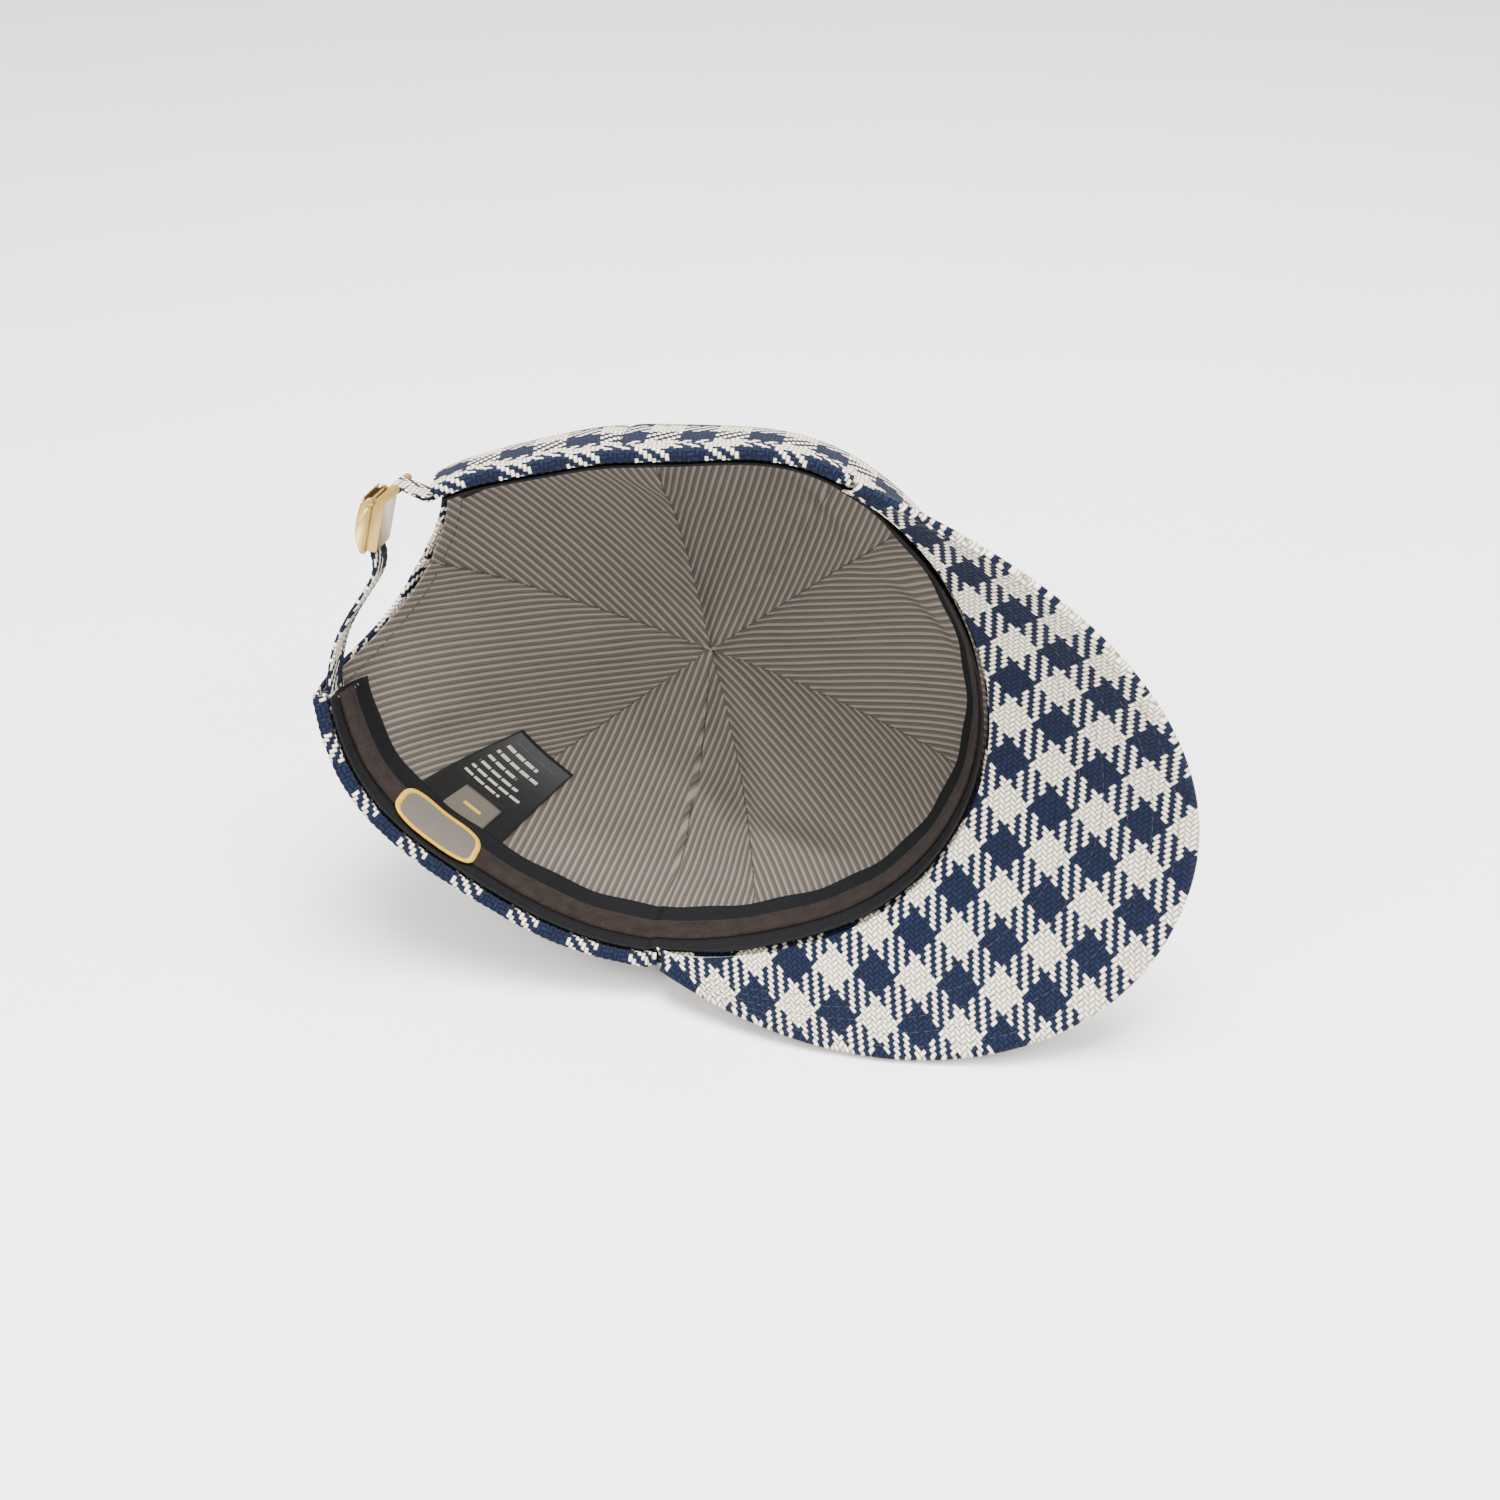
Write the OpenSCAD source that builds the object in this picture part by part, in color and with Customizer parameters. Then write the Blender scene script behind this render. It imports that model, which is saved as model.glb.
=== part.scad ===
// Six-panel baseball cap in gingham cloth, lying on its side on a table with the opening to the front.
// Lengths in millimetres. The cap is described in its own axes: x to the peak, y to the wearer's
// left, z from the rim to the top button. The rest-pose angles then lay it on the table (+Z up).

/* [Head size] */
// Half the length of the rim, outside
rim_a = 102.5; // [90:0.5:112]
// Half the width of the rim, outside
rim_b = 87.3; // [76:0.1:96]
// Height from the rim plane to the top of the crown
crown_h = 108; // [90:1:130]

/* [Crown] */
// Exponent of the crown's profile: 2 is an ellipse, more is boxier
crown_n = 2.15; // [1.8:0.05:2.8]
// How much the soft crown bulges above the rim
bulge = 0.12; // [0:0.01:0.2]
// How far the soft top has slumped forwards
slump_fwd = 10; // [0:1:20]
// How far the soft top has slumped to the wearer's left, which lies down
slump_side = 6; // [0:1:15]
// How far the limp rim has sagged out, at the back on the wearer's left
sag_out = 9.6; // [0:0.1:15]
// How far the limp rim has sagged in, at the back on the wearer's right
sag_in = 13.6; // [0:0.1:20]
// Angle from the front seam to the next seam
seam_1 = 58; // [50:1:65]
// Angle from the front seam to the seam after that
seam_2 = 118; // [110:1:125]
// Half the width of the arch at the back
arch_w = 36; // [25:1:45]
// Height of the arch at the back
arch_h = 65; // [40:1:75]
// Thickness of the outer cloth
cloth_t = 1.0; // [0.6:0.1:1.6]
// Thickness of the lining
lining_t = 0.5; // [0.3:0.1:0.8]

/* [Peak] */
// Angle each side of the front over which the peak is sewn on
peak_angle = 76; // [65:1:85]
// How far forwards the tip of the peak reaches
tip_x = 166.5; // [150:0.5:180]
// Where the peak is widest
wide_x = 40; // [20:1:60]
// Half the width of the peak
peak_w = 85; // [75:0.5:95]
// Exponent of the peak's outline
peak_n = 2.12; // [1.8:0.02:2.6]
// Downward slope of the peak
peak_slope = 0.5; // [0.2:0.05:0.9]
// Radius that the peak is bent to
peak_r = 100; // [90:1:160]
// Thickness of the stiff board
board_t = 1.8; // [1.2:0.1:2.5]

/* [Sweatband and trims] */
// Width of the black tape
tape_w = 32; // [25:1:40]
// How far the tape's free edge stands in from the crown
tape_lean = 6; // [0:0.5:12]
// Width of the pile strip on the tape
strip_w = 13; // [8:1:18]
// Height of the bound edge of the rim
binding_h = 4.5; // [3:0.5:8]
// Width of the back strap
strap_w = 20; // [15:1:25]
// Thickness of the strap, two layers
strap_t = 1.8; // [1.2:0.1:2.4]
// Radius of the covered button
button_r = 8; // [5:0.5:10]

/* [Rest pose] */
// Roll about the cap's length
lie_roll = -105.6; // [-180:0.1:180]
// Pitch of the peak towards the table
lie_pitch = 20.0; // [-45:0.1:45]
// Turn on the table
lie_yaw = -7.5; // [-180:0.1:180]

/* [Hidden] */
$fn = 48;
lie_x = -24.05;
lie_y = -24.55;
lie_z = 96.55;
press_k = 1.2;      // softness of the flat spot where the crown lies on the table
gap = 0.3;          // play between layers of cloth
psi_lo = 0.1;       // profile angle at the panels' lower edge
psi_hi = 88.6;      // profile angle where the panels end under the button
rows = 11;          // steps up a panel
arch_e = 0.7;       // squareness of the arch
xj = rim_a * cos(peak_angle);
yj = rim_b * sin(peak_angle);
peak_x0 = xj + (peak_r - sqrt(peak_r * peak_r - yj * yj)) / peak_slope;
strap_z = 15;       // height of the strap's centre line
clasp_at = [-103, -16.5];
clasp_turn = 80.6;  // direction of the clasp across the back
lin_off = cloth_t + gap + 0.1;
band_off = 4.2;     // tape's outer face below the crown's outer face
navy = [0.10, 0.13, 0.25];
cream = [0.86, 0.81, 0.72];
check = [0.42, 0.43, 0.49];
taupe = [0.50, 0.46, 0.42];
black = [0.05, 0.05, 0.06];
brass = [0.80, 0.62, 0.33];

// ---- the cap's rest pose ----
function rot_x(p, a) = [p.x, p.y * cos(a) - p.z * sin(a), p.y * sin(a) + p.z * cos(a)];
function rot_y(p, a) = [p.x * cos(a) + p.z * sin(a), p.y, p.z * cos(a) - p.x * sin(a)];
function rot_z(p, a) = [p.x * cos(a) - p.y * sin(a), p.x * sin(a) + p.y * cos(a), p.z];
function laid(p) = rot_z(rot_y(rot_x(p, lie_roll), lie_pitch), lie_yaw) + [lie_x, lie_y, lie_z];
// soft cloth gives where it would go through the table, keeping its layers apart
function give(z, d) = let (u = (z - d) / press_k) d + press_k * (u > 30 ? u : ln(1 + exp(u)));
function soft(p, d) = let (q = laid(p)) [q.x, q.y, give(q.z, d)];

// ---- shapes in the cap's own axes ----
function peak_z(x, y) = -peak_slope * (x - peak_x0)
    - (peak_r - sqrt(max(peak_r * peak_r - y * y, 1)));
// the limp rim, lying on its left, sags: in on the right at the back, out on the left
function turned(a) = a > 180 ? a - 360 : a < -180 ? a + 360 : a;
function sag(phi) = sag_out * exp(-pow(abs(turned(phi - 150)) / 30, 3))
    - sag_in * exp(-pow(abs(turned(phi + 122)) / 32, 3)) - 3 * exp(-pow((phi - 54) / 22, 2));
function rim_xy(phi, k = 1) = let (p = [rim_a * cos(phi), rim_b * sin(phi)])
    p * (1 + k * sag(phi) / norm(p));
function rim_z(phi) = let (p = rim_xy(phi)) abs(phi) < peak_angle ? peak_z(p.x, p.y) : 0;
function crown(phi, psi) = let (
    r = pow(cos(psi), 2 / crown_n) * (1 + bulge * sin(2 * psi)),
    s = pow(max(sin(psi), 0), 2 / crown_n), z0 = rim_z(phi), p = rim_xy(phi, pow(1 - s, 0.6)))
    [p.x * r + slump_fwd * s * s, p.y * r + slump_side * s * s, z0 + (crown_h - z0) * s];
function unit(v) = v / norm(v);
function crown_normal(phi, psi) = let (p = min(max(psi, 1), 87))
    unit(cross(crown(phi + 0.5, p) - crown(phi - 0.5, p), crown(phi, p + 0.5) - crown(phi, p - 0.5)));
function on_crown(phi, psi, d) = crown(phi, psi) - d * crown_normal(phi, psi);
function psi_of(h) = asin(pow(min(max(h, 0) / crown_h, 1), crown_n / 2));
function in_crown(phi, h, d) = let (p = on_crown(phi, psi_of(h), d)) [p.x, p.y, p.z + min(h, 0)];
function peak_normal(x, y) = let (e = 0.5,
    nx = (peak_z(x - e, y) - peak_z(x + e, y)) / (2 * e),
    ny = (peak_z(x, y - e) - peak_z(x, y + e)) / (2 * e))
    unit([nx, ny, 1]);
function peak_at(x, y, d) = [x, y, peak_z(x, y)] - d * peak_normal(x, y);
function sgn_pow(v, e) = sign(v) * pow(abs(v), e);
// outline of the peak, inset by i; t runs from -1 to 1
function outline(t, i) = [wide_x + (tip_x - wide_x - i) * sgn_pow(cos(96 * t), 2 / peak_n),
    (peak_w - i) * sgn_pow(sin(96 * t), 2 / peak_n)];
function inner_edge(t, i) = let (p = rim_xy(peak_angle * t)) p * (1 - i / norm(p));
// the layers' sewn edges stand one under the other, except in the peak's two points
function peak_grid(t, w, d, i) = let (e = inner_edge(t, 2.4), n = peak_normal(e.x, e.y),
    k = d * (1 - pow(abs(t), 12)), p = (1 - w) * (e + k * [n.x, n.y]) + w * outline(t, i))
    peak_at(p.x, p.y, d);

// a closed solid between two grids of points: A is the outside, B the inside
module slab(A, B) {
    m = len(A);
    n = len(A[0]);
    k = m * n;
    function quad(a, b, c, d) = [[a, b, c], [a, c, d]];
    faces = concat(
        [for (i = [0:m - 2], j = [0:n - 2], f = quad(i * n + j, (i + 1) * n + j,
            (i + 1) * n + j + 1, i * n + j + 1)) f],
        [for (i = [0:m - 2], j = [0:n - 2], f = quad(k + i * n + j, k + i * n + j + 1,
            k + (i + 1) * n + j + 1, k + (i + 1) * n + j)) f],
        [for (j = [0:n - 2], f = quad(j, j + 1, k + j + 1, k + j)) f],
        [for (j = [0:n - 2], f = quad((m - 1) * n + j + 1, (m - 1) * n + j,
            k + (m - 1) * n + j, k + (m - 1) * n + j + 1)) f],
        [for (i = [0:m - 2], f = quad((i + 1) * n, i * n, k + i * n, k + (i + 1) * n)) f],
        [for (i = [0:m - 2], f = quad(i * n + n - 1, (i + 1) * n + n - 1,
            k + (i + 1) * n + n - 1, k + i * n + n - 1)) f]);
    polyhedron(points = concat([for (r = A, p = r) p], [for (r = B, p = r) p]), faces = faces);
}

// ---- crown and lining: one gore of cloth, d_out to d_in below the crown's outer face ----
function steps(a, b, n) = [for (i = [0:n]) a + (b - a) * i / n];
phi_arch = 180 - asin(arch_w / rim_b);
// columns of a back gore, from its side seam to the back seam, with the arch's height at each
function back_cols(grow) = concat(
    [for (p = steps(seam_2, 180 - asin((arch_w + grow) / rim_b), 5)) [p, 0]],
    [for (i = [1:9]) [180 - asin((arch_w + grow) * pow(cos(i * 10), arch_e) / rim_b),
        (arch_h + grow) * pow(sin(i * 10), arch_e)]]);
function gore(cols, side, d, base) = [for (i = [0:rows]) [for (c = side > 0 ? cols :
    [for (k = [len(cols) - 1:-1:0]) cols[k]]) let (lo = max(psi_of(max(c[1], base)), psi_lo))
    soft(on_crown(side * c[0], lo + (psi_hi - lo) * i / rows, d), d)]];
module panel(cols, side, d_out, d_in, base = 0) {
    slab(gore(cols, side, d_out, base), gore(cols, side, d_in, base));
}
function plain_cols(a, b) = [for (p = steps(a, b, 9)) [p, 0]];
module outer_panel(cols, side) { color(check) panel(cols, side, 0, cloth_t); }
module lining_panel(cols, side) {
    color(taupe) panel(cols, side, lin_off, lin_off + lining_t, 3);
}

module crown_front_left() { outer_panel(plain_cols(0, seam_1), 1); }
module crown_front_right() { outer_panel(plain_cols(0, seam_1), -1); }
module crown_side_left() { outer_panel(plain_cols(seam_1, seam_2), 1); }
module crown_side_right() { outer_panel(plain_cols(seam_1, seam_2), -1); }
module crown_back_left() { outer_panel(back_cols(0), 1); }
module crown_back_right() { outer_panel(back_cols(0), -1); }
module lining_front_left() { lining_panel(plain_cols(0, seam_1), 1); }
module lining_front_right() { lining_panel(plain_cols(0, seam_1), -1); }
module lining_side_left() { lining_panel(plain_cols(seam_1, seam_2), 1); }
module lining_side_right() { lining_panel(plain_cols(seam_1, seam_2), -1); }
module lining_back_left() { lining_panel(back_cols(0.8), 1); }
module lining_back_right() { lining_panel(back_cols(0.8), -1); }

// ---- top button: a metal shell covered in cloth, clinched through the crown ----
module at_cap() {
    translate([lie_x, lie_y, lie_z]) rotate([lie_roll, lie_pitch, lie_yaw]) children();
}
module at_top() { at_cap() translate([slump_fwd, slump_side, crown_h]) children(); }
module dome(r, h, t) {
    rotate_extrude() polygon(concat(
        [for (a = [0:10:90]) [r * cos(a), h * sin(a)]],
        [for (a = [90:-10:0]) [(r - t) * cos(a), (h - t) * sin(a)]]));
}
module button_cover() { color(navy) at_top() translate([0, 0, 0.4]) dome(button_r, 5, 0.8); }
module button_shell() { color([0.7, 0.7, 0.72]) at_top() translate([0, 0, 0.4])
    dome(button_r - 0.9, 4.1, 0.5); }
module button_prong() {
    color([0.7, 0.7, 0.72]) at_top() {
        translate([0, 0, -2.4]) cylinder(r = 1.2, h = 5.9);
        translate([0, 0, -3.0]) cylinder(r = 4, h = 0.6);
    }
}

// ---- bound edge of the rim: self cloth folded round the bottom of the panels ----
function bind_out() = [[-0.95, binding_h], [-0.95, 0.2], [-0.7, -0.9], [0.4, -1.5], [2.2, -1.5],
    [3.0, -0.9], [3.25, 0.2], [3.25, binding_h]];
function bind_in() = [[-0.1, binding_h], [-0.1, 0.4], [-0.05, 0.1], [0.5, -0.3], [1.7, -0.3],
    [2.2, 0.1], [2.3, 0.4], [2.3, binding_h]];
module rim_binding(side) {
    cols = [for (p = steps(peak_angle + 1, phi_arch, 20)) side * p];
    c2 = side > 0 ? cols : [for (k = [len(cols) - 1:-1:0]) cols[k]];
    function g(S) = [for (k = [len(S) - 1:-1:0]) [for (p = c2) soft(in_crown(p, S[k][1], S[k][0]), 0)]];
    color(cream) slab(g(bind_out()), g(bind_in()));
}
module rim_binding_left() { rim_binding(1); }
module rim_binding_right() { rim_binding(-1); }

// ---- peak: a board between two covers, which close round its edge ----
peak_t = [for (i = [-20:20]) i / 20 * 0.985];
peak_wd = [0, 0.2, 0.4, 0.6, 0.8, 0.95, 1];
lip = 0.05 + cloth_t + board_t / 2;
module peak_upper_cover() {
    A = [for (w = peak_wd) [for (t = peak_t) laid(peak_grid(t, w, 0.12, 0))]];
    B = [for (w = peak_wd) [for (t = peak_t) laid(peak_grid(t, w, w < 1 ? cloth_t - 0.1 : lip,
        w < 1 ? 1.2 : 0))]];
    color(check) slab(B, A);
}
module peak_lower_cover() {
    low = 2 * lip;
    A = [for (w = peak_wd) [for (t = peak_t) laid(peak_grid(t, w, w < 1 ? low - cloth_t + 0.1 :
        lip + 0.05, w < 1 ? 1.2 : 0))]];
    B = [for (w = peak_wd) [for (t = peak_t) laid(peak_grid(t, w, low, 0))]];
    color(check) slab(B, A);
}
module peak_board() {
    wd = [0.05, 0.2, 0.4, 0.6, 0.8, 0.95, 1];
    bt = [for (t = peak_t) t * 0.94];
    A = [for (w = wd) [for (t = bt) laid(peak_grid(t, w, cloth_t + 0.1, 3))]];
    B = [for (w = wd) [for (t = bt) laid(peak_grid(t, w, cloth_t + board_t, 3))]];
    color([0.9, 0.9, 0.88]) slab(B, A);
}

// ---- sweatband: black tape sewn round the rim, with a pile strip along it ----
function tape_foot(phi) = let (u = min(max((abs(phi) - 62) / 8, 0), 1)) -3.2 * (1 - u) + 0.3 * u;
function tape_d(h) = band_off + tape_lean * pow(max(h, 0) / tape_w, 1.4);
function band_pt(phi, h, d) = soft(in_crown(phi, h, tape_d(h) + d), tape_d(h) + d);
phi_band = phi_arch - 1;
strip_h = [9, 9 + strip_w / 2, 9 + strip_w];
module band(heights, d0, d1, p0, p1, cols, foot = false) {
    function g(d) = [for (h = heights) [for (p = steps(p0, p1, cols))
        band_pt(p, foot && h == 0 ? tape_foot(p) : h, d)]];
    slab(g(d0), g(d1));
}
module sweatband_tape() {
    color(black) band(concat([0, 4], strip_h, [tape_w]), 0, 0.7, -phi_band, phi_band, 64, true);
}
module sweatband_strip() {
    color([0.10, 0.07, 0.06]) band(strip_h, 0.75, 1.35, -phi_band, phi_band, 64);
}
// a plain rounded patch with no lettering, and two sewn-in tags
module maker_patch() {
    color([0.36, 0.32, 0.28]) band(concat([3], strip_h, [26]), 1.6, 2.2, 113, 130, 8);
}
function tag_pt(phi, h, d) = soft(in_crown(phi, h, d), d);
module tag(h0, h1, d0, d1, p0, p1, n = 6) {
    function g(d) = [for (i = [0:n]) [for (p = steps(p0, p1, 5))
        tag_pt(p, h0 + (h1 - h0) * i / n, d)]];
    slab(g(d0), g(d1));
}
module care_label() { color(black) tag(35, 86, 2.5, 2.8, 110.5, 129.5); }
module size_tag() { color([0.36, 0.32, 0.28]) tag(35, 60.5, 3.15, 3.45, 115, 124, 3); }

// ---- back strap, its tab and the clasp ----
// the clasp's axes: u across the back to the wearer's right, n outwards, w up the cap
function clasp_xy(u, n) = clasp_at + [-u * cos(clasp_turn) - n * sin(clasp_turn),
    -u * sin(clasp_turn) + n * cos(clasp_turn)];
function corner_xy(y, d) = let (p = in_crown(180 - asin(y / rim_b), 0, d)) [p.x, p.y];
strap_path = [corner_xy(43, 3), corner_xy(39, 3), corner_xy(35, 2.9), [-101.8, 28.5], [-102.3, 22],
    [-101.2, 14], [-99.2, 6], [-97.8, -1], [-99, -5.6], clasp_xy(-7.6, -0.3),
    clasp_xy(-3, -0.3), clasp_xy(2, -0.3), clasp_xy(6, -0.3)];
function side_xy(P, i) = let (a = P[max(i - 1, 0)], b = P[min(i + 1, len(P) - 1)], v = unit(b - a))
    [v.y, -v.x];
module ribbon(P, t, z0, z1) {
    function g(s) = [for (z = [z0, (z0 + z1) / 2, z1]) [for (i = [0:len(P) - 1])
        let (q = P[i] + s * t / 2 * side_xy(P, i)) laid([q.x, q.y, z])]];
    slab(g(-1), g(1));
}
module strap() { color(cream) ribbon(strap_path, strap_t, strap_z - strap_w / 2, strap_z + strap_w / 2); }
tab_w = 19;         // the tab is a little narrower than the clasp's bar
bar_un = [12.4, -4.8];
bar_xy = clasp_xy(bar_un.x, bar_un.y);
module tab_shape() {
    P = [for (y = [43, 38, 34.5, 32]) let (q = in_crown(asin(y / rim_b) - 180, 0, 2.9)) [q.x, q.y]];
    difference() {
        union() {
            translate(bar_xy) circle(r = 1.85);
            for (i = [0:2]) hull() { translate(P[i]) circle(r = 0.75); translate(P[i + 1]) circle(r = 0.75); }
            hull() { translate(P[3]) circle(r = 0.75); translate(bar_xy) circle(r = 1.2); }
        }
        translate(bar_xy) circle(r = 0.95);
    }
}
module strap_tab() {
    color(cream) at_cap() translate([0, 0, strap_z - strap_w / 2]) linear_extrude(tab_w) tab_shape();
}
// the clasp's own axes: x = u, y = n, z = w
module at_clasp() {
    at_cap() translate([clasp_at.x, clasp_at.y, strap_z])
        multmatrix([[-cos(clasp_turn), -sin(clasp_turn), 0, 0], [-sin(clasp_turn), cos(clasp_turn), 0, 0],
            [0, 0, -1, 0]]) children();
}
in_w = strap_w / 2 + 0.3;
wall = 0.8;
pin_un = [7.2, 1.9];
module frame_side() {
    hull() { translate([-7.2, -1.7]) circle(r = 0.7); translate([-7.2, 0.3]) circle(r = 0.7);
        translate([7.2, -1.6]) circle(r = 0.8); translate(pin_un) circle(r = 1.2); }
    hull() { translate([7.2, -0.6]) circle(r = 1.4); translate(bar_un) circle(r = 1.4); }
}
module clasp_frame() {
    color(brass) at_clasp() {
        translate([-7.6, -2.4, -in_w]) cube([15.2, 0.8, 2 * in_w]);
        for (s = [-in_w - wall, in_w]) translate([0, 0, s]) linear_extrude(wall) difference() {
            frame_side();
            translate(pin_un) circle(r = 0.62);
        }
        translate([bar_un.x, bar_un.y, -in_w - 0.4]) cylinder(r = 0.8, h = 2 * in_w + 0.8);
    }
}
lev_w = in_w + wall + 0.3;
module clasp_pin() {
    color(brass) at_clasp() translate([pin_un.x, pin_un.y, -lev_w - wall - 0.2]) {
        cylinder(r = 0.6, h = 2 * lev_w + 2 * wall + 0.4);
        for (z = [-0.5, 2 * lev_w + 2 * wall + 0.4]) translate([0, 0, z]) cylinder(r = 1.1, h = 0.5);
    }
}
// lever: a convex cover with side skirts, a toothed edge that bites the strap, and a thumb lip
function arch_n(u) = 5.0 - (u > 0 ? 0.012 : 0.034) * u * u;
module clasp_lever() {
    color(brass) at_clasp() {
        translate([0, 0, -lev_w - wall]) linear_extrude(2 * (lev_w + wall)) polygon(concat(
            [for (u = [-8.8:1.6:7.2]) [u, arch_n(u)]], [[8.6, 4.0], [8.6, 3.55], [7.2, 3.5]],
            [for (u = [5.6:-1.6:-7.2]) [u, arch_n(u) - 0.9]], [[-8, 0.9], [-8.8, 0.9]]));
        for (s = [-lev_w - wall, lev_w]) translate([0, 0, s]) linear_extrude(wall) difference() {
            union() {
                polygon(concat([for (u = [-8.8:1.6:7.2]) [u, arch_n(u) - 0.1]], [[7.2, 1.2], [-8.8, 0.9]]));
                translate(pin_un) circle(r = 1.3);
            }
            translate(pin_un) circle(r = 0.66);
        }
    }
}

crown_front_left();
crown_side_left();
crown_back_left();
crown_front_right();
crown_side_right();
crown_back_right();
lining_front_left();
lining_side_left();
lining_back_left();
lining_front_right();
lining_side_right();
lining_back_right();
button_cover();
button_shell();
button_prong();
rim_binding_left();
rim_binding_right();
peak_upper_cover();
peak_board();
peak_lower_cover();
sweatband_tape();
sweatband_strip();
maker_patch();
care_label();
size_tag();
strap();
strap_tab();
clasp_frame();
clasp_pin();
clasp_lever();
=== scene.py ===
import math

import bpy
import numpy as np
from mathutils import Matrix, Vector


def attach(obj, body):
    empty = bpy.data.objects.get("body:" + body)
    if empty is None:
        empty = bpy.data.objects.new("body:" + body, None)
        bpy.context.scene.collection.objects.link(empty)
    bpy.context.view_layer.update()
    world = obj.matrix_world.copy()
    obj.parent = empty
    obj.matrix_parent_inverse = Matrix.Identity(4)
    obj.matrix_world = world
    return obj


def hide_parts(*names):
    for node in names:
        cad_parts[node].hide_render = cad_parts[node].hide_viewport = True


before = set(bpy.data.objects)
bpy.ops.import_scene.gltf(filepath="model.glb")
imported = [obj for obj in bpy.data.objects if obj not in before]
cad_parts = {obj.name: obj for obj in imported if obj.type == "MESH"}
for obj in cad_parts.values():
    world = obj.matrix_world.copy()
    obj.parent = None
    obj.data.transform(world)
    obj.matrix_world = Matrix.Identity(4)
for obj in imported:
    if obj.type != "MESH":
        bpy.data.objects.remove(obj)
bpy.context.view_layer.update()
bpy.ops.object.select_all(action="DESELECT")

# ---- Table, light and camera ----
# A white table top in a bright white room, one large soft lamp above and two fills in front.
# The camera stands in front of the open rim, 31 degrees up, and looks at the cap lying on its side.
mouth = Vector((-0.02405, -0.02455, 0.09655))
elevation = math.radians(31)
forward = Vector((0, math.cos(elevation), -math.sin(elevation)))
upward = Vector((0, math.sin(elevation), math.cos(elevation)))
eye_distance = 0.70
eye = mouth - forward * eye_distance + Vector((1, 0, 0)) * 0.02454 - upward * 0.01534
camera_data = bpy.data.cameras.new("camera")
camera_data.lens = 54.8
camera_data.sensor_width = 36
camera_data.clip_start = 0.01
camera = bpy.data.objects.new("camera", camera_data)
camera.location = eye
camera.rotation_euler = (math.pi / 2 - elevation, 0, 0)
bpy.context.collection.objects.link(camera)
bpy.context.scene.camera = camera


def finish_named(name, roughness):
    """A material with its shader, and a calc() that adds one sum to it at a time."""
    finish = bpy.data.materials.new(name)
    finish.use_nodes = True
    nodes, links = finish.node_tree.nodes, finish.node_tree.links
    shader = nodes["Principled BSDF"]
    shader.inputs["Roughness"].default_value = roughness

    def put(value, socket):
        if isinstance(value, (int, float, tuple)):
            socket.default_value = value
        else:
            links.new(value, socket)

    def calc(operation, *values):
        node = nodes.new("ShaderNodeMath")
        node.operation = operation
        for value, socket in zip(values, node.inputs):
            put(value, socket)
        return node.outputs[0]

    def mix(amount, first, second, blend="MIX"):
        node = nodes.new("ShaderNodeMix")
        node.data_type = "RGBA"
        node.blend_type = blend
        put(amount, node.inputs[0])
        put(first, node.inputs[6])
        put(second, node.inputs[7])
        return node.outputs[2]

    def noise(scale, detail=2.0, where=None):
        node = nodes.new("ShaderNodeTexNoise")
        node.inputs["Scale"].default_value = scale
        node.inputs["Detail"].default_value = detail
        if where is None:
            where = nodes.new("ShaderNodeTexCoord").outputs["Object"]
        links.new(where, node.inputs["Vector"])
        return node.outputs["Fac"]

    def cloth_uv():
        node = nodes.new("ShaderNodeUVMap")
        node.uv_map = "cloth"
        split = nodes.new("ShaderNodeSeparateXYZ")
        links.new(node.outputs[0], split.inputs[0])
        return node.outputs[0], split.outputs[0], split.outputs[1]

    def bump(height, distance, strength=1.0):
        node = nodes.new("ShaderNodeBump")
        node.inputs["Distance"].default_value = distance
        node.inputs["Strength"].default_value = strength
        links.new(height, node.inputs["Height"])
        links.new(node.outputs[0], shader.inputs["Normal"])

    return finish, shader, put, calc, mix, noise, cloth_uv, bump


table_finish, shader, put, calc, mix, noise, cloth_uv, bump = finish_named("white_table", 0.6)
put(mix(noise(9.0), (0.90, 0.90, 0.90, 1), (0.94, 0.94, 0.94, 1)), shader.inputs["Base Color"])
bpy.ops.mesh.primitive_plane_add(size=6)
table = bpy.context.object
table.name = "table"
table.data.materials.append(table_finish)
world = bpy.data.worlds.new("studio")
world.use_nodes = True
world.node_tree.nodes["Background"].inputs[0].default_value = (1.0, 1.0, 1.0, 1)
world.node_tree.nodes["Background"].inputs[1].default_value = 1.3
bpy.context.scene.world = world
for place, size, power, aim in (((0.10, -0.15, 1.5), 1.0, 78, (0, 0, 0)),
                                ((-0.9, -1.1, 1.1), 0.8, 24, (0, 0, 0.08)),
                                ((0.9, -0.9, 1.0), 0.7, 16, (0, 0, 0.08))):
    lamp_data = bpy.data.lights.new("softbox", "AREA")
    lamp_data.size = size
    lamp_data.energy = power
    lamp = bpy.data.objects.new("softbox", lamp_data)
    lamp.location = place
    lamp.rotation_euler = (Vector(aim) - Vector(place)).to_track_quat("-Z", "Y").to_euler()
    bpy.context.collection.objects.link(lamp)

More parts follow.
